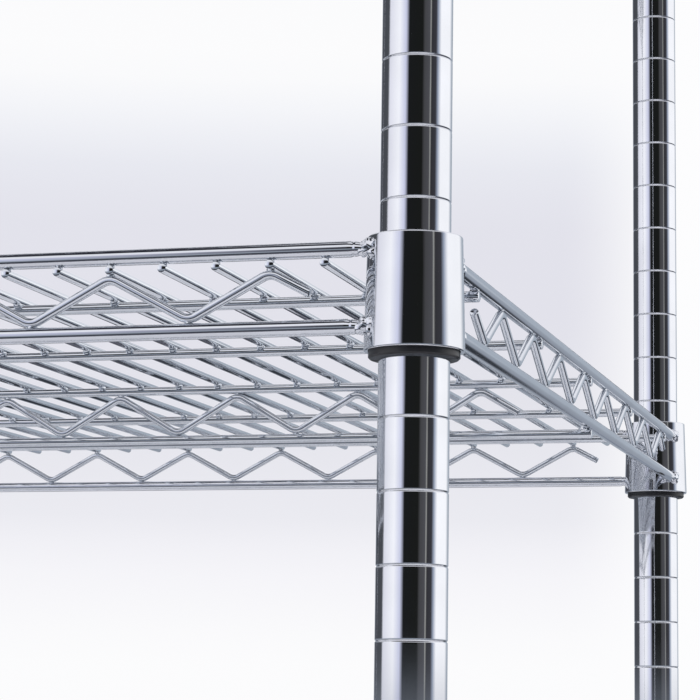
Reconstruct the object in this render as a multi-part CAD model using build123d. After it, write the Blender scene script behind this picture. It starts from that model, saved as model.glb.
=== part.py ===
from build123d import *
import math
import os

# Wire shelving rack: four ring-grooved posts carry four lift-off wire shelves.
# Frame: millimetres, +Z up, -Y is the front, origin on the floor under the middle of the rack.

# ---- driving dimensions ----
POST_SPAN_X = 880.0        # post axis to post axis along the long side
POST_SPAN_Y = 575.0        # post axis to post axis along the short side
POST_R = 12.5
POST_WALL = 1.2
GROOVE_PITCH = 25.4
GROOVE_COUNT = 70
GROOVE_WIDTH = 0.9
GROOVE_DEPTH = 0.3
SHELF_GROOVES = (4, 25, 46, 67)   # the groove that each shelf's sleeves snap into, counted from 1

COLLAR_TOP = 13.0          # heights in a shelf are measured from its seat groove
COLLAR_BOTTOM = -27.3
COLLAR_TOP_R = 16.7
COLLAR_BOTTOM_R = 17.7
COLLAR_WALL = 1.6
COLLAR_EDGE = 0.35

SLEEVE_TOP = 10.5
SLEEVE_BOTTOM = -29.9
SLEEVE_FIT = 0.05          # radial clearance of a sleeve in its collar
SLEEVE_GRIP = 0.02         # radial clearance of a sleeve on its post
SLEEVE_SPLIT = 0.8         # gap between the two halves
SLEEVE_LIP_EDGE = 0.6

RAIL_R = 2.9
WIRE_R = 1.7
SUPPORT_R = 2.1
TRUSS_LOWER_R = 2.2
WELD_GAP = 0.02            # left between welded wires so that each stays its own solid

FRONT_RAIL_OUT = 9.0       # rail axis outboard of the post axis, front and back
SIDE_RAIL_OUT = 11.0
UPPER_RAIL_Z = 8.2
LOWER_RAIL_Z = -19.2

DECK_PITCH = 20.0
DECK_COUNT = 42
DECK_OVERHANG = 2.4        # deck wire end past the axis of the front rail
SUPPORT_OVERHANG = 1.6     # support wire end past the axis of the side rail
SUPPORT_FIRST = 47.0       # from the front post axis
SUPPORT_SECOND = 168.0

WAVE_PITCH = 60.0
WAVE_BEND_R = 6.0
FRONT_WAVE_FIRST_TOP = 50.0    # from the right-hand post axis
FRONT_WAVE_END = 35.5
SIDE_WAVE_FIRST_BOTTOM = 62.0
SIDE_WAVE_START = 45.0
SIDE_WAVE_LENGTH = 481.0
TRUSS_WAVE_FIRST_TOP = 40.0
TRUSS_WAVE_END = 22.0

PAD_R = 16.0
PAD_HEIGHT = 9.0
PAD_FLOOR = 3.0            # solid thickness under the stem's pivot
PAD_CHAMFER = 2.0
STEM_R = 4.75
RUNNING_FIT = 0.06
HEX_FLATS = 17.0
HEX_BOTTOM = 9.4
HEX_TOP = 16.0
STEM_TOP = 58.0
MOVING_GAP = 0.4
INSERT_FLANGE = 2.0
INSERT_DEPTH = 26.0
PLUG_FIT = 0.05            # radial clearance of the inserts and caps in the tube
CAP_PLUG = 14.0
CAP_RIM = 1.6
CAP_DOME = 1.8

# ---- derived dimensions ----
HALF_X = POST_SPAN_X / 2
HALF_Y = POST_SPAN_Y / 2
TUBE_BORE_R = POST_R - POST_WALL
POST_BOTTOM = HEX_TOP + MOVING_GAP + INSERT_FLANGE
POST_LENGTH = (GROOVE_COUNT + 0.5) * GROOVE_PITCH
POST_TOP = POST_BOTTOM + POST_LENGTH
COLLAR_HEIGHT = COLLAR_TOP - COLLAR_BOTTOM
DECK_Z = UPPER_RAIL_Z - RAIL_R - WIRE_R - WELD_GAP
SUPPORT_Z = DECK_Z - WIRE_R - SUPPORT_R - WELD_GAP
SIDE_UPPER_Z = SUPPORT_Z + SUPPORT_R + RAIL_R + WELD_GAP
EDGE_WAVE_TOP = DECK_Z - 2 * WIRE_R - WELD_GAP
EDGE_WAVE_BOTTOM = LOWER_RAIL_Z + RAIL_R + WIRE_R + WELD_GAP
TRUSS_WAVE_TOP = SUPPORT_Z - SUPPORT_R - WIRE_R - WELD_GAP
TRUSS_LOWER_Z = LOWER_RAIL_Z - RAIL_R - TRUSS_LOWER_R - WELD_GAP
TRUSS_WAVE_BOTTOM = TRUSS_LOWER_Z + TRUSS_LOWER_R + WIRE_R + WELD_GAP

CORNERS = {
    "front_left": (-HALF_X, -HALF_Y),
    "front_right": (HALF_X, -HALF_Y),
    "back_left": (-HALF_X, HALF_Y),
    "back_right": (HALF_X, HALF_Y),
}


def groove_z(number):
    """Height of a post groove above the floor."""
    return POST_BOTTOM + number * GROOVE_PITCH


def turned(points):
    """Solid of revolution about Z from a closed (radius, height) outline."""
    outline = Polyline(*[(r, 0, z) for r, z in points], close=True)
    return revolve(make_face(outline), Axis.Z)


def rod(start, end, radius):
    """Straight round wire between two points."""
    path = Line(start, end)
    return sweep(Plane(origin=path @ 0, z_dir=path % 0) * Circle(radius), path=path)


def rotated_pair(shape):
    """A piece and its twin on the opposite side of the rack."""
    return [shape, Rot(0, 0, 180) * shape]


# ---- posts ----
def post():
    """Tube with a shallow ring groove at every pitch."""
    outline = [(TUBE_BORE_R, POST_TOP), (TUBE_BORE_R, POST_BOTTOM), (POST_R, POST_BOTTOM)]
    for number in range(1, GROOVE_COUNT + 1):
        z = groove_z(number)
        outline += [
            (POST_R, z - GROOVE_WIDTH / 2),
            (POST_R - GROOVE_DEPTH, z),
            (POST_R, z + GROOVE_WIDTH / 2),
        ]
    outline.append((POST_R, POST_TOP))
    return turned(outline)


def post_cap():
    """Domed plug that closes the top of a post."""
    plug_r = TUBE_BORE_R - PLUG_FIT
    rim_top = POST_TOP + CAP_RIM
    section = Polyline(
        (POST_R, 0, rim_top),
        (POST_R, 0, POST_TOP + WELD_GAP),
        (plug_r, 0, POST_TOP + WELD_GAP),
        (plug_r, 0, POST_TOP - CAP_PLUG),
        (0, 0, POST_TOP - CAP_PLUG),
        (0, 0, rim_top + CAP_DOME),
    )
    dome = ThreePointArc(
        (0, 0, rim_top + CAP_DOME),
        (POST_R / 2, 0, rim_top + 0.76 * CAP_DOME),
        (POST_R, 0, rim_top),
    )
    return revolve(make_face(section + dome), Axis.Z)


# ---- levelling feet ----
def foot_insert():
    """Flanged plug in the bottom of a post, bored for the levelling stem."""
    bore_r = STEM_R + RUNNING_FIT
    plug_r = TUBE_BORE_R - PLUG_FIT
    return turned([
        (bore_r, POST_BOTTOM - INSERT_FLANGE),
        (POST_R, POST_BOTTOM - INSERT_FLANGE),
        (POST_R, POST_BOTTOM - WELD_GAP),
        (plug_r, POST_BOTTOM - WELD_GAP),
        (plug_r, POST_BOTTOM + INSERT_DEPTH),
        (bore_r, POST_BOTTOM + INSERT_DEPTH),
    ])


def foot_pad():
    """Round glide that stays still on the floor while the stem turns in it."""
    socket_r = STEM_R + RUNNING_FIT
    return turned([
        (0, 0),
        (PAD_R - PAD_CHAMFER / 2, 0),
        (PAD_R, PAD_CHAMFER / 2),
        (PAD_R, PAD_HEIGHT - 2 * PAD_CHAMFER),
        (PAD_R - 2 * PAD_CHAMFER, PAD_HEIGHT),
        (socket_r, PAD_HEIGHT),
        (socket_r, PAD_FLOOR),
        (0, PAD_FLOOR),
    ])


def foot_stem():
    """Levelling stem with its hexagon, pivoting in the pad and screwed into the insert."""
    bottom = PAD_FLOOR + WELD_GAP
    shank = Pos(0, 0, (STEM_TOP + bottom) / 2) * Cylinder(STEM_R, STEM_TOP - bottom)
    flats = RegularPolygon(HEX_FLATS / 2, 6, major_radius=False)
    return shank + extrude(Pos(0, 0, HEX_BOTTOM) * flats, HEX_TOP - HEX_BOTTOM)


# ---- sleeves and collars ----
def collar_inner_r(z):
    """Radius of the tapered bore of a collar at a height in the shelf."""
    down = (COLLAR_TOP - z) / COLLAR_HEIGHT
    return COLLAR_TOP_R - COLLAR_WALL + down * (COLLAR_BOTTOM_R - COLLAR_TOP_R)


def collar():
    """Tapered tube, wider at the bottom, with eased rims."""
    top_in = collar_inner_r(COLLAR_TOP)
    bottom_in = collar_inner_r(COLLAR_BOTTOM)
    e = COLLAR_EDGE
    return turned([
        (bottom_in, COLLAR_BOTTOM + e),
        (bottom_in + e, COLLAR_BOTTOM),
        (COLLAR_BOTTOM_R - e, COLLAR_BOTTOM),
        (COLLAR_BOTTOM_R, COLLAR_BOTTOM + e),
        (COLLAR_TOP_R, COLLAR_TOP - e),
        (COLLAR_TOP_R - e, COLLAR_TOP),
        (top_in + e, COLLAR_TOP),
        (top_in, COLLAR_TOP - e),
    ])


def collar_envelope():
    """Solid cone over the outside of a collar, used to cope the rail ends to it."""
    cone = Cone(COLLAR_BOTTOM_R + WELD_GAP, COLLAR_TOP_R + WELD_GAP, COLLAR_HEIGHT)
    return Pos(0, 0, (COLLAR_TOP + COLLAR_BOTTOM) / 2) * cone


def sleeve_halves():
    """Two half cones that clip round a post, with an inner rib in the seat groove."""
    grip_r = POST_R + SLEEVE_GRIP
    rib = GROOVE_DEPTH - 2 * SLEEVE_GRIP
    lip = SLEEVE_LIP_EDGE
    cone = turned([
        (grip_r, SLEEVE_BOTTOM),
        (collar_inner_r(SLEEVE_BOTTOM) - SLEEVE_FIT - lip, SLEEVE_BOTTOM),
        (collar_inner_r(SLEEVE_BOTTOM) - SLEEVE_FIT, SLEEVE_BOTTOM + lip),
        (collar_inner_r(SLEEVE_TOP) - SLEEVE_FIT, SLEEVE_TOP),
        (grip_r, SLEEVE_TOP),
        (grip_r, rib),
        (grip_r - rib, 0),
        (grip_r, -rib),
    ])
    slot = Box(4 * POST_R, SLEEVE_SPLIT, 4 * COLLAR_HEIGHT)
    return (cone - slot).solids()


# ---- shelf frame ----
def coped(rail, ends):
    """A rail with its ends cut to the outside of the collars at the two corners."""
    for x, y in ends:
        rail = rail - Pos(x, y, 0) * collar_envelope()
    return rail


def long_rail(z):
    """Front rail of a shelf, from collar to collar."""
    y = -HALF_Y - FRONT_RAIL_OUT
    rail = rod((-HALF_X, y, z), (HALF_X, y, z), RAIL_R)
    return coped(rail, (CORNERS["front_left"], CORNERS["front_right"]))


def side_rail(z):
    """Right-hand rail of a shelf, from collar to collar."""
    x = HALF_X + SIDE_RAIL_OUT
    rail = rod((x, -HALF_Y, z), (x, HALF_Y, z), RAIL_R)
    return coped(rail, (CORNERS["front_right"], CORNERS["back_right"]))


def cut_height(corner, x, slope, peak):
    """Height at which a zigzag leg is cut off, at x beyond its last corner."""
    towards_middle = -1 if corner[1] == peak else 1
    return corner[1] + towards_middle * slope * abs(x - corner[0])


def wave(start, end, first_top, top, bottom):
    """Zigzag wire along X in the XZ plane, tops every wave pitch, cut off at start and end."""
    ease = WAVE_BEND_R * (1 / math.cos(math.atan2(top - bottom, WAVE_PITCH / 2)) - 1)
    peak = top + ease
    valley = bottom - ease
    half = WAVE_PITCH / 2
    slope = (peak - valley) / half
    steps = range(math.ceil((start - first_top) / half), 1 + math.floor((end - first_top) / half))
    corners = [(first_top + n * half, valley if n % 2 else peak) for n in steps]
    head = (start, cut_height(corners[0], start, slope, peak))
    tail = (end, cut_height(corners[-1], end, slope, peak))
    points = [(x, 0, z) for x, z in [head, *corners, tail]]
    path = FilletPolyline(*points, radius=WAVE_BEND_R)
    return sweep(Plane(origin=path @ 0, z_dir=path % 0) * Circle(WIRE_R), path=path)


def edge_waves():
    """The zigzags between the rails of all four edges."""
    reach = HALF_X - FRONT_WAVE_END
    long_wave = wave(-reach, reach, HALF_X - FRONT_WAVE_FIRST_TOP, EDGE_WAVE_TOP, EDGE_WAVE_BOTTOM)
    start = SIDE_WAVE_START - HALF_Y
    first_top = SIDE_WAVE_FIRST_BOTTOM + WAVE_PITCH / 2 - HALF_Y
    side_wave = wave(start, start + SIDE_WAVE_LENGTH, first_top, EDGE_WAVE_TOP, EDGE_WAVE_BOTTOM)
    front = Pos(0, -HALF_Y - FRONT_RAIL_OUT, 0) * long_wave
    side = Pos(HALF_X + SIDE_RAIL_OUT, 0, 0) * Rot(0, 0, 90) * side_wave
    return rotated_pair(front) + rotated_pair(side)


# ---- shelf deck ----
def deck_wires():
    """The close row of wires, front to back, that goods stand on."""
    reach = HALF_Y + FRONT_RAIL_OUT + DECK_OVERHANG
    first = -(DECK_COUNT - 1) * DECK_PITCH / 2
    wires = []
    for n in range(DECK_COUNT):
        x = first + n * DECK_PITCH
        wires.append(rod((x, -reach, DECK_Z), (x, reach, DECK_Z), WIRE_R))
    return wires


def support_wires():
    """The long wires under the deck, whose ends carry the side rails."""
    reach = HALF_X + SIDE_RAIL_OUT + SUPPORT_OVERHANG
    outer = HALF_Y - SUPPORT_FIRST
    inner = HALF_Y - SUPPORT_SECOND
    places = (-outer, -inner, 0, inner, outer)
    return [rod((-reach, y, SUPPORT_Z), (reach, y, SUPPORT_Z), SUPPORT_R) for y in places]


def truss_wave():
    """Zigzag of the stiffening truss under the middle of the deck."""
    reach = HALF_X - TRUSS_WAVE_END
    return wave(-reach, reach, HALF_X - TRUSS_WAVE_FIRST_TOP, TRUSS_WAVE_TOP, TRUSS_WAVE_BOTTOM)


def truss_lower_wire():
    """Bottom wire of the middle truss, its ends passing under the lower side rails."""
    reach = HALF_X + SIDE_RAIL_OUT + SUPPORT_OVERHANG
    return rod((-reach, 0, TRUSS_LOWER_Z), (reach, 0, TRUSS_LOWER_Z), TRUSS_LOWER_R)


def shelf_pieces():
    """Every piece of one shelf, by name, with the seat groove at height zero."""
    return {
        "collars": [Pos(x, y, 0) * collar() for x, y in CORNERS.values()],
        "upper_rails": rotated_pair(long_rail(UPPER_RAIL_Z)) + rotated_pair(side_rail(SIDE_UPPER_Z)),
        "lower_rails": rotated_pair(long_rail(LOWER_RAIL_Z)) + rotated_pair(side_rail(LOWER_RAIL_Z)),
        "edge_zigzags": edge_waves(),
        "deck_wires": deck_wires(),
        "support_wires": support_wires(),
        "truss_zigzag": [truss_wave()],
        "truss_lower_wire": [truss_lower_wire()],
        "split_sleeves": [Pos(x, y, 0) * half for x, y in CORNERS.values() for half in sleeve_halves()],
    }


# ---- export ----
def save(name, solids):
    """Write one node; a node of several loose pieces keeps each as its own solid."""
    shape = solids[0] if len(solids) == 1 else Compound(children=list(solids))
    export_step(shape, f"parts/{name}.step")


def main():
    os.makedirs("parts", exist_ok=True)
    corner_pieces = {
        "post": post(),
        "post_cap": post_cap(),
        "foot_insert": foot_insert(),
        "foot_pad": foot_pad(),
        "foot_stem": foot_stem(),
    }
    for piece, shape in corner_pieces.items():
        for corner, (x, y) in CORNERS.items():
            save(f"{piece}_{corner}", [Pos(x, y, 0) * shape])
    shelf = shelf_pieces()
    for number, groove in enumerate(SHELF_GROOVES, start=1):
        for piece, solids in shelf.items():
            save(f"shelf_{number}_{piece}", [Pos(0, 0, groove_z(groove)) * solid for solid in solids])


main()
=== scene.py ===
import bpy
import math
import random
from mathutils import Matrix, Vector, noise


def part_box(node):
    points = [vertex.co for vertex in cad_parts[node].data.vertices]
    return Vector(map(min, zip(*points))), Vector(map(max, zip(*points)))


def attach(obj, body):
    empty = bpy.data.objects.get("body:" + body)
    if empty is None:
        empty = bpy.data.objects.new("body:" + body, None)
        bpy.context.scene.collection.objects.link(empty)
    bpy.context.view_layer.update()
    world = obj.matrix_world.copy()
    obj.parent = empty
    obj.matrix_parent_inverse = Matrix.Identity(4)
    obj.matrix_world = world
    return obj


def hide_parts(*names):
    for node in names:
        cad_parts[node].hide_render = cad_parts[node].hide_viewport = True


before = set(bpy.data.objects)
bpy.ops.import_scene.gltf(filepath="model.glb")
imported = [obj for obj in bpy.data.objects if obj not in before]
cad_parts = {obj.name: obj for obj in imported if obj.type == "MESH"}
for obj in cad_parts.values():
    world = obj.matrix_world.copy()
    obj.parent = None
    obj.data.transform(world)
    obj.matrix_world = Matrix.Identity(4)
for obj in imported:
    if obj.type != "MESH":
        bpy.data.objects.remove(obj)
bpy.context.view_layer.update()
random.seed(11)

# ---- dimensions shared with the CAD, in metres ----
RAIL_R = 0.0029
WIRE_R = 0.0017
SUPPORT_R = 0.0021
TRUSS_LOWER_R = 0.0022
UPPER_RAIL_Z = 0.0082          # heights in a shelf are measured from its seat groove
LOWER_RAIL_Z = -0.0192
FRONT_RAIL_OUT = 0.0090
SIDE_RAIL_OUT = 0.0110
DECK_PITCH = 0.020
DECK_COUNT = 42
WAVE_PITCH = 0.060
WAVE_BEND_R = 0.006
COLLAR_TOP_R = 0.0167
COLLAR_BOTTOM_R = 0.0177
COLLAR_WALL = 0.0016
POST_R = 0.0125
GROOVE_PITCH = 0.0254
GROOVE_COUNT = 70
GROOVE_HALF = 0.00045
GROOVE_DEPTH = 0.0003
POST_WALL = 0.0012
DECK_OVERHANG = 0.0024         # deck wire end past the axis of the front rail
SUPPORT_OVERHANG = 0.0016      # support and truss wire end past the axis of the side rail
SUPPORT_FIRST = 0.047          # from the front post axis, as are the side zigzag's places
SUPPORT_SECOND = 0.168
SIDE_WAVE_START = 0.045
SIDE_WAVE_FIRST_TOP = 0.092
SIDE_WAVE_LENGTH = 0.481
FRONT_WAVE_END = 0.0355        # from the right-hand post axis, as are the next three
FRONT_WAVE_FIRST_TOP = 0.050
TRUSS_WAVE_END = 0.022
TRUSS_WAVE_FIRST_TOP = 0.040
SHELVES = (1, 2, 3, 4)
VIEWED_SHELF = 3               # the shelf that the camera looks at
CORNERS = ("front_left", "front_right", "back_left", "back_right")

DECK_Z = UPPER_RAIL_Z - RAIL_R - WIRE_R
SUPPORT_Z = DECK_Z - WIRE_R - SUPPORT_R
SIDE_UPPER_Z = SUPPORT_Z + SUPPORT_R + RAIL_R
EDGE_WAVE_TOP = DECK_Z - 2 * WIRE_R
EDGE_WAVE_BOTTOM = LOWER_RAIL_Z + RAIL_R + WIRE_R
TRUSS_WAVE_TOP = SUPPORT_Z - SUPPORT_R - WIRE_R
TRUSS_LOWER_Z = LOWER_RAIL_Z - RAIL_R - TRUSS_LOWER_R
TRUSS_WAVE_BOTTOM = TRUSS_LOWER_Z + TRUSS_LOWER_R + WIRE_R

# ---- places read from the frame ----
post_low, post_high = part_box("post_front_right")
HALF_X = (post_low[0] + post_high[0]) / 2
HALF_Y = -(post_low[1] + post_high[1]) / 2
POST_BOTTOM = post_low[2]
POST_TOP = post_high[2]
CORNER_XY = {
    corner: (HALF_X * (1 if "right" in corner else -1), HALF_Y * (1 if "back" in corner else -1))
    for corner in CORNERS
}
FRONT_RAIL_Y = HALF_Y + FRONT_RAIL_OUT
SIDE_RAIL_X = HALF_X + SIDE_RAIL_OUT
collar_low, collar_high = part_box("shelf_3_collars")
COLLAR_HEIGHT = collar_high[2] - collar_low[2]
COLLAR_TOP = 0.013
COLLAR_BOTTOM = COLLAR_TOP - COLLAR_HEIGHT


def shelf_z(number):
    """Height of a shelf's seat groove above the floor."""
    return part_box(f"shelf_{number}_collars")[1][2] - COLLAR_TOP


# ---- mesh builders ----
class Mesh:
    """Collects vertices and faces, then becomes one object."""

    def __init__(self):
        self.verts = []
        self.faces = []
        self.tint = []

    def add(self, verts, faces, tint=0.0):
        base = len(self.verts)
        self.verts += [tuple(v) for v in verts]
        self.faces += [tuple(base + i for i in f) for f in faces]
        self.tint += [tint] * len(verts)

    def object(self, name, material, smooth_angle=math.radians(32)):
        mesh = bpy.data.meshes.new(name)
        mesh.from_pydata(self.verts, [], self.faces)
        mesh.validate()
        layer = mesh.attributes.new("heat", "FLOAT", "POINT")
        layer.data.foreach_set("value", self.tint)
        mesh.polygons.foreach_set("use_smooth", [True] * len(mesh.polygons))
        mesh.set_sharp_from_angle(angle=smooth_angle)
        mesh.materials.append(material)
        obj = bpy.data.objects.new(name, mesh)
        bpy.context.collection.objects.link(obj)
        return obj


def tube_mesh(path, radii, sides):
    """Rings along a path, closed at both ends."""
    pts = [Vector(p) for p in path]
    count = len(pts)
    steepest = 0.9                 # a path steeper than this takes Y, not Z, as its upright
    verts, faces = [], []
    up = None
    for i, p in enumerate(pts):
        ahead = (pts[min(i + 1, count - 1)] - pts[max(i - 1, 0)]).normalized()
        if up is None:
            up = Vector((0, 0, 1)) if abs(ahead.z) < steepest else Vector((0, 1, 0))
        side = ahead.cross(up).normalized()
        up = side.cross(ahead).normalized()
        for k in range(sides):
            a = 2 * math.pi * k / sides
            verts.append(p + radii[i] * (math.cos(a) * side + math.sin(a) * up))
    for i in range(count - 1):
        for k in range(sides):
            n = (k + 1) % sides
            faces.append((i * sides + k, i * sides + n, (i + 1) * sides + n, (i + 1) * sides + k))
    faces.append(tuple(reversed(range(sides))))
    faces.append(tuple((count - 1) * sides + k for k in range(sides)))
    faces = [tuple(reversed(f)) for f in faces]
    return verts, faces


def cut_wire(mesh, path, radius, sides=20, ease=0.00035):
    """A wire with the slightly eased edges that a shear leaves on its cut ends."""
    pts = [Vector(p) for p in path]
    first = (pts[1] - pts[0]).normalized()
    last = (pts[-1] - pts[-2]).normalized()
    head = [pts[0], pts[0] + first * ease * 0.35, pts[0] + first * ease * 1.1]
    tail = [pts[-1] - last * ease * 1.1, pts[-1] - last * ease * 0.35, pts[-1]]
    eased = [radius - ease, radius - ease * 0.3, radius]
    middle = pts[1:-1]
    radii = eased + [radius] * len(middle) + eased[::-1]
    mesh.add(*tube_mesh(head + middle + tail, radii, sides))


def straight_wire(mesh, start, end, radius, sides, ease):
    """A straight cut wire."""
    start, end = Vector(start), Vector(end)
    cut_wire(mesh, [start, (start + end) / 2, end], radius, sides, ease)


def lathe(mesh, outline, centre, sides=96):
    """Closed outline of (radius, height) turned about a vertical axis."""
    verts, faces = [], []
    count = len(outline)
    for r, z in outline:
        for k in range(sides):
            a = 2 * math.pi * k / sides
            verts.append((centre[0] + r * math.cos(a), centre[1] + r * math.sin(a), z))
    for i in range(count):
        j = (i + 1) % count
        for k in range(sides):
            n = (k + 1) % sides
            faces.append((i * sides + k, j * sides + k, j * sides + n, i * sides + n))
    mesh.add(verts, faces)


def blob(mesh, centre, size, rough, rings, sides, heat, seed):
    """A weld bead: an ellipsoid made slightly lumpy, with a burnt tint given by heat."""
    centre = Vector(centre)
    verts, faces = [], []
    for i in range(rings + 1):
        t = math.pi * i / rings
        for k in range(sides):
            a = 2 * math.pi * k / sides
            d = Vector((math.sin(t) * math.cos(a), math.sin(t) * math.sin(a), math.cos(t)))
            lump = 1 + rough * noise.noise(d * 1.7 + Vector((seed * 3.1, seed * 1.7, seed)))
            local = Vector((d.x * size[0], d.y * size[1], d.z * size[2])) * lump
            verts.append(centre + local)
    for i in range(rings):
        for k in range(sides):
            n = (k + 1) % sides
            faces.append((i * sides + k, (i + 1) * sides + k, (i + 1) * sides + n, i * sides + n))
    faces.append(tuple(range(sides)))
    faces.append(tuple(reversed([rings * sides + k for k in range(sides)])))
    mesh.add(verts, faces, heat)


def wave_path(start, end, first_top, top, bottom):
    """Centre line of a zigzag wire along its first coordinate, with round bends."""
    half = WAVE_PITCH / 2
    ease = WAVE_BEND_R * (1 / math.cos(math.atan2(top - bottom, half)) - 1)
    peak, valley = top + ease, bottom - ease
    slope = (peak - valley) / half
    lean = math.atan(slope)
    low = math.ceil((start - first_top) / half)
    high = math.floor((end - first_top) / half)
    corners = [(first_top + n * half, valley if n % 2 else peak, n % 2) for n in range(low, high + 1)]

    def cut(corner, x):
        return corner[1] + (1 if corner[2] else -1) * slope * abs(x - corner[0])

    path = [(start, cut(corners[0], start))]
    steps = 7
    for x, z, is_valley in corners:
        sign = 1 if is_valley else -1
        centre_z = z + sign * WAVE_BEND_R / math.cos(lean)
        for s in range(steps + 1):
            a = -lean + 2 * lean * s / steps
            path.append((x + WAVE_BEND_R * math.sin(a), centre_z - sign * WAVE_BEND_R * math.cos(a)))
    path.append((end, cut(corners[-1], end)))
    return path, corners


def opposite(points):
    """The same points after half a turn about the rack's upright axis."""
    return [(-x, -y, z) for x, y, z in points]


# ---- materials ----
MIX_FIRST = 6                  # the colour sockets of Blender's Mix node, by their place in it
MIX_SECOND = 7
MIX_RESULT = 2
X_AXIS, Y_AXIS, Z_AXIS = 0, 1, 2


def new_material(name):
    """A node material, with its node tree and its shader."""
    material = bpy.data.materials.new(name)
    material.use_nodes = True
    tree = material.node_tree
    shader = tree.nodes["Principled BSDF"]
    return material, tree, shader


def noise_node(tree, scale, detail, stretch=(1, 1, 1)):
    """Noise fixed to the object."""
    coords = tree.nodes.new("ShaderNodeTexCoord")
    mapping = tree.nodes.new("ShaderNodeMapping")
    mapping.inputs["Scale"].default_value = stretch
    texture = tree.nodes.new("ShaderNodeTexNoise")
    texture.inputs["Scale"].default_value = scale
    texture.inputs["Detail"].default_value = detail
    tree.links.new(coords.outputs["Object"], mapping.inputs["Vector"])
    tree.links.new(mapping.outputs["Vector"], texture.inputs["Vector"])
    return texture


def ramp_node(tree, source, stops):
    """Colour ramp from (place, colour) stops."""
    ramp = tree.nodes.new("ShaderNodeValToRGB")
    while len(ramp.color_ramp.elements) < len(stops):
        ramp.color_ramp.elements.new(0.5)
    for element, (place, colour) in zip(ramp.color_ramp.elements, stops):
        element.position = place
        element.color = (*colour, 1)
    tree.links.new(source, ramp.inputs["Fac"])
    return ramp


def range_node(tree, source, low, high):
    """Stretches a 0 to 1 value over a range."""
    ranged = tree.nodes.new("ShaderNodeMapRange")
    ranged.inputs["To Min"].default_value = low
    ranged.inputs["To Max"].default_value = high
    tree.links.new(source, ranged.inputs["Value"])
    return ranged


def mix_colours(tree, factor, first, second):
    """Blend of two colours; a colour is a socket or a plain value."""
    mix = tree.nodes.new("ShaderNodeMix")
    mix.data_type = "RGBA"
    tree.links.new(factor, mix.inputs["Factor"])
    for index, colour in ((MIX_FIRST, first), (MIX_SECOND, second)):
        if isinstance(colour, tuple):
            mix.inputs[index].default_value = colour
        else:
            tree.links.new(colour, mix.inputs[index])
    return mix.outputs[MIX_RESULT]


def math_node(tree, operation, *values):
    """Maths on sockets and plain numbers."""
    node = tree.nodes.new("ShaderNodeMath")
    node.operation = operation
    for socket, value in zip(node.inputs, values):
        if isinstance(value, (int, float)):
            socket.default_value = value
        else:
            tree.links.new(value, socket)
    return node.outputs[0]


def bump_node(tree, shader, source, strength, distance):
    """Bump fed into the shader's normal."""
    bump = tree.nodes.new("ShaderNodeBump")
    bump.inputs["Strength"].default_value = strength
    bump.inputs["Distance"].default_value = distance
    tree.links.new(source, bump.inputs["Height"])
    tree.links.new(bump.outputs["Normal"], shader.inputs["Normal"])


def chrome(name, tone, roughness, draw_axis, waviness):
    """Bright plate, slightly clouded in tone and gloss, with faint drawing lines along one axis.

    The mesh's heat attribute burns the plate brown and dulls it at the welds.
    """
    dulling = 0.20                 # roughness that full heat adds
    material, tree, shader = new_material(name)
    shader.inputs["Metallic"].default_value = 1.0
    cloud = noise_node(tree, scale=38.0, detail=4.0)
    plate = ramp_node(tree, cloud.outputs["Fac"], (
        (0.30, tuple(c * 0.93 for c in tone)),
        (0.62, tone),
        (0.80, tuple(min(1.0, c * 1.04) for c in tone)),
    ))
    heat = tree.nodes.new("ShaderNodeAttribute")
    heat.attribute_name = "heat"
    scorch = noise_node(tree, scale=900.0, detail=3.0)
    burnt = ramp_node(tree, scorch.outputs["Fac"], (
        (0.35, (0.07, 0.060, 0.050)),
        (0.55, (0.26, 0.235, 0.21)),
        (0.75, (0.50, 0.48, 0.46)),
    ))
    colour = mix_colours(tree, heat.outputs["Fac"], plate.outputs["Color"], burnt.outputs["Color"])
    tree.links.new(colour, shader.inputs["Base Color"])
    gloss = noise_node(tree, scale=120.0, detail=5.0)
    ranged = range_node(tree, gloss.outputs["Fac"], roughness * 0.55, roughness * 1.6)
    dull = math_node(tree, "MULTIPLY_ADD", heat.outputs["Fac"], dulling, ranged.outputs["Result"])
    tree.links.new(dull, shader.inputs["Roughness"])
    stretch = tuple(0.04 if i == draw_axis else 1.0 for i in range(3))
    lines = noise_node(tree, scale=1500.0, detail=2.0, stretch=stretch)
    bump_node(tree, shader, lines.outputs["Fac"], strength=waviness, distance=0.00004)
    return material


def plastic(name, tone, roughness):
    """Moulded plastic with a fine grain and slightly polished patches."""
    material, tree, shader = new_material(name)
    cloud = noise_node(tree, scale=60.0, detail=4.0)
    colour = ramp_node(tree, cloud.outputs["Fac"], (
        (0.3, tuple(c * 0.75 for c in tone)),
        (0.7, tuple(c * 1.35 for c in tone)),
    ))
    tree.links.new(colour.outputs["Color"], shader.inputs["Base Color"])
    gloss = noise_node(tree, scale=240.0, detail=3.0)
    ranged = range_node(tree, gloss.outputs["Fac"], roughness * 0.75, roughness * 1.2)
    tree.links.new(ranged.outputs["Result"], shader.inputs["Roughness"])
    grain = noise_node(tree, scale=2600.0, detail=2.0)
    bump_node(tree, shader, grain.outputs["Fac"], strength=0.35, distance=0.00006)
    return material


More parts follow.
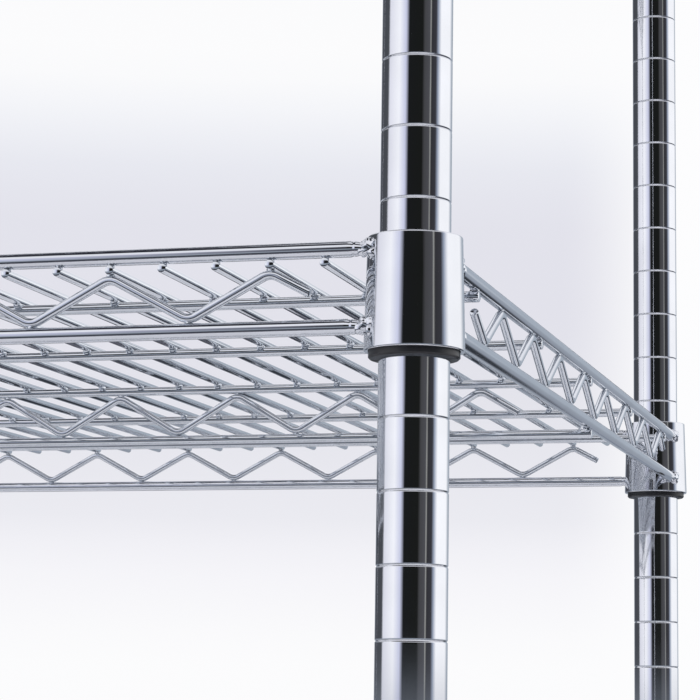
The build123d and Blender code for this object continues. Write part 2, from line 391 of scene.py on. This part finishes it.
def zinc(name):
    """Zinc plated steel: bluish, satin, with faint turning marks."""
    material, tree, shader = new_material(name)
    shader.inputs["Metallic"].default_value = 1.0
    cloud = noise_node(tree, scale=150.0, detail=5.0)
    colour = ramp_node(tree, cloud.outputs["Fac"], (
        (0.3, (0.50, 0.52, 0.55)),
        (0.6, (0.64, 0.65, 0.68)),
        (0.8, (0.70, 0.69, 0.66)),
    ))
    tree.links.new(colour.outputs["Color"], shader.inputs["Base Color"])
    ranged = range_node(tree, cloud.outputs["Fac"], 0.22, 0.42)
    tree.links.new(ranged.outputs["Result"], shader.inputs["Roughness"])
    marks = noise_node(tree, scale=900.0, detail=2.0, stretch=(0.08, 0.08, 1.0))
    bump_node(tree, shader, marks.outputs["Fac"], strength=0.3, distance=0.00005)
    return material


POST_CHROME = chrome("post_chrome_look", (0.80, 0.815, 0.85), 0.045, Z_AXIS, 0.10)
COLLAR_CHROME = chrome("collar_chrome_look", (0.80, 0.815, 0.85), 0.05, Z_AXIS, 0.12)
RAIL_CHROME = chrome("rail_chrome_look", (0.80, 0.82, 0.86), 0.05, X_AXIS, 0.12)
WIRE_CHROME = chrome("wire_chrome_look", (0.76, 0.79, 0.83), 0.05, Y_AXIS, 0.12)
SLEEVE_PLASTIC = plastic("sleeve_plastic_look", (0.018, 0.018, 0.020), 0.38)
CAP_PLASTIC = plastic("cap_plastic_look", (0.030, 0.030, 0.033), 0.45)
FOOT_STEEL = zinc("foot_steel_look")


# ---- posts ----
def groove_outline(z):
    """One rolled ring groove from below: a flat that holds the shading, a shoulder and a round bottom."""
    steps = ((2.2, 0.0), (1.3, 0.0), (0.95, 0.06), (0.65, 0.30), (0.30, 0.80))
    below = [(POST_R - depth * GROOVE_DEPTH, z - away * GROOVE_HALF) for away, depth in steps]
    above = [(POST_R - depth * GROOVE_DEPTH, z + away * GROOVE_HALF) for away, depth in reversed(steps)]
    return [*below, (POST_R - GROOVE_DEPTH, z), *above]


def build_posts():
    """The four grooved tubes."""
    edge = 0.0003
    bore = POST_R - POST_WALL
    outline = [(bore, POST_TOP), (bore, POST_BOTTOM)]
    outline += [(POST_R - edge, POST_BOTTOM), (POST_R, POST_BOTTOM + edge)]
    for n in range(1, GROOVE_COUNT + 1):
        outline += groove_outline(POST_BOTTOM + n * GROOVE_PITCH)
    outline += [(POST_R, POST_TOP - edge), (POST_R - edge, POST_TOP)]
    for corner, centre in CORNER_XY.items():
        mesh = Mesh()
        lathe(mesh, outline, centre, sides=72)
        obj = mesh.object(f"post_{corner}_tube", POST_CHROME)
        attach(obj, "posts")
        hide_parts(f"post_{corner}")


# ---- shelves ----
def collar_radius(z):
    """Outside radius of a collar at a height in the shelf."""
    return COLLAR_TOP_R + (COLLAR_TOP - z) / COLLAR_HEIGHT * (COLLAR_BOTTOM_R - COLLAR_TOP_R)


def build_collars(number, base):
    """The four collars of a shelf, their rims rounded and the flats next to them held."""
    mesh = Mesh()
    ease = 0.00045
    hold_flat = 0.0004
    turns = (0, 0.5, 1.0, 1.57)
    outline = []
    for z, inwards in ((COLLAR_BOTTOM, 1), (COLLAR_TOP, -1)):
        outer = collar_radius(z)
        inner = outer - COLLAR_WALL
        hold = z + inwards * (ease + hold_flat)
        rim = [(inner, hold)]
        for a in turns:
            rim.append((inner + ease * (1 - math.cos(a)), z + inwards * ease * (1 - math.sin(a))))
        for a in turns:
            rim.append((outer - ease * (1 - math.sin(a)), z + inwards * ease * (1 - math.cos(a))))
        rim.append((outer, hold))
        outline += rim if inwards == 1 else rim[::-1]
    for centre in CORNER_XY.values():
        lathe(mesh, [(r, base + z) for r, z in outline], centre)
    return mesh.object(f"shelf_{number}_collar_tubes", COLLAR_CHROME)


def rail_run(mesh, start, end):
    """A rail pressed thinner where it was welded on, with a small crease before its full thickness."""
    a, b = Vector(start), Vector(end)
    along = (b - a).normalized()
    length = (b - a).length
    places = [0, 0.0012, 0.0024, 0.0036, 0.0048, 0.0056, 0.0060, 0.0066, 0.0071, 0.0080]
    scales = [0.86, 0.74, 0.70, 0.78, 0.90, 0.93, 0.86, 0.93, 0.985, 1.0]
    pts = [a + along * p for p in places] + [a + along * (length - p) for p in reversed(places)]
    radii = [RAIL_R * scale for scale in scales + scales[::-1]]
    mesh.add(*tube_mesh(pts, radii, 32))


def rail_reach(offset, z):
    """How far along from a post axis a rail at this offset ends, just inside the collar."""
    sunk = 0.0006
    r = collar_radius(z)
    return math.sqrt(r * r - offset * offset) - sunk


def end_weld(mesh, centre, inward, outward, seed):
    """Bright lumpy weld between a rail's end and its collar.

    Each lump is its shift inward along the rail, outward from the rack and up, then its radius.
    """
    centre, inward, outward = Vector(centre), Vector(inward), Vector(outward)
    lumps = (
        (-0.0004, 0.0006, 0.0003, 0.0031),
        (0.0016, 0.0012, 0.0012, 0.0026),
        (0.0014, 0.0011, -0.0014, 0.0025),
        (-0.0027, 0.0003, -0.0006, 0.0024),
    )
    for k, (along, out, up, size) in enumerate(lumps):
        spot = centre + inward * along + outward * out + Vector((0, 0, up))
        blob(mesh, spot, (size, size * 0.95, size), 0.30, 16, 22, 0.12, seed + k * 3)


def build_rails(number, base, upper):
    """The four upper or the four lower rails of a shelf, with their end welds."""
    mesh = Mesh()
    long_z = UPPER_RAIL_Z if upper else LOWER_RAIL_Z
    side_z = SIDE_UPPER_Z if upper else LOWER_RAIL_Z
    x = HALF_X - rail_reach(FRONT_RAIL_OUT, long_z)
    y = HALF_Y - rail_reach(SIDE_RAIL_OUT, side_z)
    for s in (-1, 1):
        rail_run(mesh, (-x, s * FRONT_RAIL_Y, base + long_z), (x, s * FRONT_RAIL_Y, base + long_z))
        rail_run(mesh, (s * SIDE_RAIL_X, -y, base + side_z), (s * SIDE_RAIL_X, y, base + side_z))
    seed = number * 10 + upper
    side_seed = 40                 # keeps a corner's two welds from being alike
    for sx in (-1, 1):
        for sy in (-1, 1):
            seed += 1
            long_end = (sx * x, sy * FRONT_RAIL_Y, base + long_z)
            end_weld(mesh, long_end, (sx, 0, 0), (0, sy, 0), seed)
            side_end = (sx * SIDE_RAIL_X, sy * y, base + side_z)
            end_weld(mesh, side_end, (0, sy, 0), (sx, 0, 0), seed + side_seed)
    name = f"shelf_{number}_{'upper' if upper else 'lower'}_rail_bars"
    return mesh.object(name, RAIL_CHROME, smooth_angle=math.radians(50))


def weld_dot(mesh, centre, size, seed):
    """Small burnt weld where two wires touch."""
    blob(mesh, centre, size, 0.25, 6, 10, 0.8, seed)


def contact_z(is_valley):
    """Height in a shelf at which an edge zigzag's bend touches its rail or deck wire."""
    return LOWER_RAIL_Z + RAIL_R if is_valley else EDGE_WAVE_TOP + WIRE_R


def build_zigzags(number, base):
    """The zigzags of all four edges; the back and left ones are the others after half a turn."""
    mesh = Mesh()
    reach = HALF_X - FRONT_WAVE_END
    first_top = HALF_X - FRONT_WAVE_FIRST_TOP
    front, front_corners = wave_path(-reach, reach, first_top, EDGE_WAVE_TOP, EDGE_WAVE_BOTTOM)
    start = SIDE_WAVE_START - HALF_Y
    first_top = SIDE_WAVE_FIRST_TOP - HALF_Y
    side, side_corners = wave_path(
        start, start + SIDE_WAVE_LENGTH, first_top, EDGE_WAVE_TOP, EDGE_WAVE_BOTTOM)
    front_points = [(x, -FRONT_RAIL_Y, base + z) for x, z in front]
    side_points = [(SIDE_RAIL_X, y, base + z) for y, z in side]
    for points in (front_points, opposite(front_points), side_points, opposite(side_points)):
        cut_wire(mesh, points, WIRE_R)
    for t, _, is_valley in front_corners:
        for s in (-1, 1):
            spot = (-s * t, -s * FRONT_RAIL_Y, base + contact_z(is_valley))
            weld_dot(mesh, spot, (0.0016, 0.0011, 0.0009), int(t * 1000) + s)
    for t, _, is_valley in side_corners:
        for s in (-1, 1):
            spot = (s * SIDE_RAIL_X, s * t, base + contact_z(is_valley))
            weld_dot(mesh, spot, (0.0011, 0.0016, 0.0009), int(t * 1000) + s)
    return mesh.object(f"shelf_{number}_edge_zigzag_wires", WIRE_CHROME)


def support_places():
    """Where the support wires lie, front to back."""
    outer, inner = HALF_Y - SUPPORT_FIRST, HALF_Y - SUPPORT_SECOND
    return (-outer, -inner, 0.0, inner, outer)


def deck_places():
    """Where the deck wires lie along the shelf."""
    first = -(DECK_COUNT - 1) * DECK_PITCH / 2
    return [first + n * DECK_PITCH for n in range(DECK_COUNT)]


def build_deck(number, base):
    """The row of deck wires, each cut a hair shorter by chance, with a weld at every crossing."""
    mesh = Mesh()
    reach = FRONT_RAIL_Y + DECK_OVERHANG
    longest_trim = 0.0003
    z = base + DECK_Z
    weld_sink = 0.0001
    for n, x in enumerate(deck_places()):
        trim = longest_trim * random.random()
        straight_wire(mesh, (x, -reach + trim, z), (x, reach - trim, z), WIRE_R, 20, 0.00045)
        for s in (-1, 1):
            spot = (x, s * FRONT_RAIL_Y, z + WIRE_R - weld_sink)
            weld_dot(mesh, spot, (0.0012, 0.0018, 0.0009), n + s)
        for k, y in enumerate(support_places()):
            spot = (x, y, z - WIRE_R + weld_sink)
            weld_dot(mesh, spot, (0.0019, 0.0022, 0.0010), n * 7 + k)
    return mesh.object(f"shelf_{number}_deck_wire_row", WIRE_CHROME)


def build_supports(number, base):
    """The five support wires, with the welds that hold the side rails on their ends."""
    mesh = Mesh()
    reach = SIDE_RAIL_X + SUPPORT_OVERHANG
    z = base + SUPPORT_Z
    weld_inset = 0.0004
    for y in support_places():
        straight_wire(mesh, (-reach, y, z), (reach, y, z), SUPPORT_R, 24, 0.0004)
        for s in (-1, 1):
            spot = (s * (SIDE_RAIL_X - weld_inset), y, z + SUPPORT_R)
            weld_dot(mesh, spot, (0.0019, 0.0014, 0.0010), int(y * 500) + s)
    return mesh.object(f"shelf_{number}_support_wire_set", WIRE_CHROME)


def build_truss(number, base):
    """The middle truss: its zigzag and its bottom wire, welded under the lower side rails."""
    zigzag = Mesh()
    reach = HALF_X - TRUSS_WAVE_END
    first_top = HALF_X - TRUSS_WAVE_FIRST_TOP
    path, corners = wave_path(-reach, reach, first_top, TRUSS_WAVE_TOP, TRUSS_WAVE_BOTTOM)
    cut_wire(zigzag, [(x, 0, base + z) for x, z in path], WIRE_R)
    for x, _, is_valley in corners:
        z = TRUSS_LOWER_Z + TRUSS_LOWER_R if is_valley else TRUSS_WAVE_TOP + WIRE_R
        weld_dot(zigzag, (x, 0, base + z), (0.0017, 0.0011, 0.0009), int(x * 1000))
    lower = Mesh()
    reach = SIDE_RAIL_X + SUPPORT_OVERHANG
    z = base + TRUSS_LOWER_Z
    bead_inset, bead_rise = 0.0026, 0.0018
    straight_wire(lower, (-reach, 0, z), (reach, 0, z), TRUSS_LOWER_R, 24, 0.0003)
    for s in (-1, 1):
        spot = (s * (SIDE_RAIL_X - bead_inset), 0, z + bead_rise)
        blob(lower, spot, (0.0022, 0.0027, 0.0019), 0.3, 10, 14, 0.1, number + s)
    return (zigzag.object(f"shelf_{number}_truss_zigzag_wire", WIRE_CHROME),
            lower.object(f"shelf_{number}_truss_lower_bar", WIRE_CHROME))


def place(obj, number, node, slot_name):
    """Puts a finished piece on its shelf in place of the CAD node."""
    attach(obj, f"shelf_{number}")
    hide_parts(f"shelf_{number}_{node}")


def build_shelf(number):
    """Every looks piece of one shelf."""
    base = shelf_z(number)
    place(build_collars(number, base), number, "collars", "shelf_chrome")
    place(build_rails(number, base, True), number, "upper_rails", "shelf_chrome")
    place(build_rails(number, base, False), number, "lower_rails", "shelf_chrome")
    place(build_zigzags(number, base), number, "edge_zigzags", "wire_chrome")
    place(build_deck(number, base), number, "deck_wires", "wire_chrome")
    place(build_supports(number, base), number, "support_wires", "wire_chrome")
    zigzag, lower = build_truss(number, base)
    place(zigzag, number, "truss_zigzag", "wire_chrome")
    place(lower, number, "truss_lower_wire", "wire_chrome")


def finish_cad_nodes():
    """Materials for the CAD pieces that are shown as they are."""
    for name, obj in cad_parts.items():
        if "split_sleeves" in name:
            material = SLEEVE_PLASTIC
        elif "cap" in name or "pad" in name:
            material = CAP_PLASTIC
        else:
            material = FOOT_STEEL
        for material_slot in obj.material_slots:
            material_slot.material = material


build_posts()
for shelf_number in SHELVES:
    build_shelf(shelf_number)
finish_cad_nodes()


# ---- stage ----
def build_floor():
    """A pale plain square just under the glides."""
    mesh = Mesh()
    half = 1.7
    drop = 0.0005
    corners = [(-half, -half, -drop), (half, -half, -drop), (half, half, -drop), (-half, half, -drop)]
    mesh.add(corners, [(0, 1, 2, 3)])
    material, tree, shader = new_material("floor_look")
    cloud = noise_node(tree, scale=2.0, detail=3.0)
    tones = ((0.3, (0.82, 0.82, 0.83)), (0.7, (0.86, 0.86, 0.87)))
    colour = ramp_node(tree, cloud.outputs["Fac"], tones)
    tree.links.new(colour.outputs["Color"], shader.inputs["Base Color"])
    shader.inputs["Roughness"].default_value = 0.8
    mesh.object("studio_floor", material)


def at(degrees):
    """Place on a ramp of directions round the rack; 0 points to the camera, positive to its right."""
    return 0.5 + degrees / 360


def up(degrees):
    """Place on a ramp of heights above the horizon."""
    return 0.5 + degrees / 180


def build_world(facing):
    """Light by direction, which the chrome mirrors: soft boxes, dark walls and a dark room.

    The camera sees a pale backdrop instead, and matt surfaces get a little more light.
    """
    world = bpy.data.worlds.new("studio")
    bpy.context.scene.world = world
    world.use_nodes = True
    tree = world.node_tree
    tree.nodes.clear()
    coords = tree.nodes.new("ShaderNodeTexCoord")
    split = tree.nodes.new("ShaderNodeSeparateXYZ")
    turn = tree.nodes.new("ShaderNodeMapping")
    turn.vector_type = "POINT"
    turn.inputs["Rotation"].default_value = (0, 0, -facing)
    tree.links.new(coords.outputs["Generated"], turn.inputs["Vector"])
    tree.links.new(turn.outputs["Vector"], split.inputs["Vector"])
    backward = math_node(tree, "MULTIPLY", split.outputs["Y"], -1.0)
    around = math_node(tree, "ARCTAN2", split.outputs["X"], backward)
    around01 = math_node(tree, "MULTIPLY_ADD", around, 1 / (2 * math.pi), 0.5)
    height = math_node(tree, "ARCSINE", split.outputs["Z"])
    height01 = math_node(tree, "MULTIPLY_ADD", height, 1 / math.pi, 0.5)
    level = ramp_node(tree, around01, (
        (at(-180), (0.42, 0.47, 0.54)),
        (at(-165), (0.20, 0.22, 0.26)),
        (at(-150), (0.07, 0.075, 0.09)),
        (at(-108), (0.08, 0.085, 0.095)),
        (at(-100), (0.88, 0.88, 0.96)),
        (at(-60), (1.10, 1.10, 1.14)),
        (at(-38), (0.72, 0.74, 0.92)),
        (at(-27), (0.012, 0.013, 0.014)),
        (at(17), (0.012, 0.013, 0.012)),
        (at(24), (0.07, 0.07, 0.075)),
        (at(41), (0.09, 0.09, 0.10)),
        (at(44), (0.42, 0.42, 0.40)),
        (at(47), (0.04, 0.04, 0.045)),
        (at(64), (0.05, 0.05, 0.06)),
        (at(72), (0.40, 0.45, 0.56)),
        (at(84), (1.15, 1.15, 1.17)),
        (at(131), (1.12, 1.12, 1.14)),
        (at(150), (0.42, 0.47, 0.54)),
        (at(180), (0.42, 0.47, 0.54)),
    ))

    rise = ramp_node(tree, height01, (
        (up(-90), (0.08, 0.08, 0.10)),
        (up(-29), (0.13, 0.13, 0.16)),
        (up(-25), (0.04, 0.045, 0.055)),
        (up(-16), (0.04, 0.045, 0.055)),
        (up(-12), (0.30, 0.33, 0.39)),
        (up(-2), (0.36, 0.40, 0.46)),
        (up(4), (0.20, 0.21, 0.26)),
        (up(16), (0.40, 0.42, 0.52)),
        (up(27), (0.93, 0.93, 0.98)),
        (up(50), (0.95, 0.95, 1.0)),
        (up(56), (0.03, 0.03, 0.04)),
        (up(72), (0.03, 0.03, 0.04)),
        (up(78), (0.95, 0.95, 1.0)),
        (up(90), (0.92, 0.92, 0.96)),
    ))
    band = ramp_node(tree, height01, (
        (up(-3), (0.0, 0.0, 0.0)),
        (up(1), (1.0, 1.0, 1.0)),
        (up(20), (1.0, 1.0, 1.0)),
        (up(30), (0.0, 0.0, 0.0)),
    ))
    room = mix_colours(tree, band.outputs["Color"], rise.outputs["Color"], level.outputs["Color"])
    light = tree.nodes.new("ShaderNodeBackground")
    tree.links.new(room, light.inputs["Color"])

    seen = ramp_node(tree, height01, (
        (up(1), (0.97, 0.97, 0.98)),
        (up(3.2), (0.905, 0.90, 0.94)),
        (up(4.2), (0.83, 0.83, 0.88)),
        (up(7), (0.775, 0.775, 0.835)),
        (up(9), (0.762, 0.76, 0.83)),
        (up(11.5), (0.765, 0.765, 0.835)),
        (up(12.8), (0.81, 0.82, 0.88)),
        (up(13.8), (0.89, 0.90, 0.94)),
        (up(15), (0.97, 0.97, 0.98)),
        (up(40), (0.90, 0.90, 0.93)),
    ))
    glow = tree.nodes.new("ShaderNodeMapRange")
    glow.interpolation_type = "SMOOTHSTEP"
    glow.inputs["From Min"].default_value = 0.060
    glow.inputs["From Max"].default_value = 0.112
    tree.links.new(split.outputs["X"], glow.inputs["Value"])
    wash = mix_colours(tree, glow.outputs["Result"], seen.outputs["Color"], (0.98, 0.98, 0.99, 1))
    backdrop = tree.nodes.new("ShaderNodeBackground")
    tree.links.new(wash, backdrop.inputs["Color"])
    rays = tree.nodes.new("ShaderNodeLightPath")
    matt_boost = 0.9
    strength = math_node(tree, "MULTIPLY_ADD", rays.outputs["Is Diffuse Ray"], matt_boost, 1.0)
    tree.links.new(strength, light.inputs["Strength"])
    pick = tree.nodes.new("ShaderNodeMixShader")
    out = tree.nodes.new("ShaderNodeOutputWorld")
    tree.links.new(rays.outputs["Is Camera Ray"], pick.inputs["Fac"])
    tree.links.new(light.outputs["Background"], pick.inputs[1])
    tree.links.new(backdrop.outputs["Background"], pick.inputs[2])
    tree.links.new(pick.outputs["Shader"], out.inputs["Surface"])


# ---- camera: low to the front right of a shelf corner, looking up at it ----
CAMERA_RIGHT = 0.1988          # from the front right post, in the rack's directions
CAMERA_FORWARD = -0.7892
CAMERA_BELOW = 0.1709          # under the groove one pitch above the shelf's seat groove
CAMERA_TURN = math.radians(15.71)
CAMERA_TILT = math.radians(8.30)
CAMERA_ROLL = math.radians(0.85)
CAMERA_LENS = 121.8


def build_camera():
    """The long lens of the main view."""
    data = bpy.data.cameras.new("camera")
    data.lens = CAMERA_LENS
    data.sensor_width = 36.0
    data.clip_start = 0.02
    camera = bpy.data.objects.new("camera", data)
    bpy.context.collection.objects.link(camera)
    x, y = CORNER_XY["front_right"]
    z = shelf_z(VIEWED_SHELF) + GROOVE_PITCH - CAMERA_BELOW
    aim = Matrix.Rotation(CAMERA_TURN, 4, "Z") @ Matrix.Rotation(math.pi / 2 + CAMERA_TILT, 4, "X")
    roll = Matrix.Rotation(CAMERA_ROLL, 4, "Z")
    camera.matrix_world = Matrix.Translation((x + CAMERA_RIGHT, y + CAMERA_FORWARD, z)) @ aim @ roll
    bpy.context.scene.camera = camera


build_floor()
build_world(math.atan2(CAMERA_RIGHT, -CAMERA_FORWARD))
build_camera()
bpy.context.scene.view_settings.view_transform = "Standard"
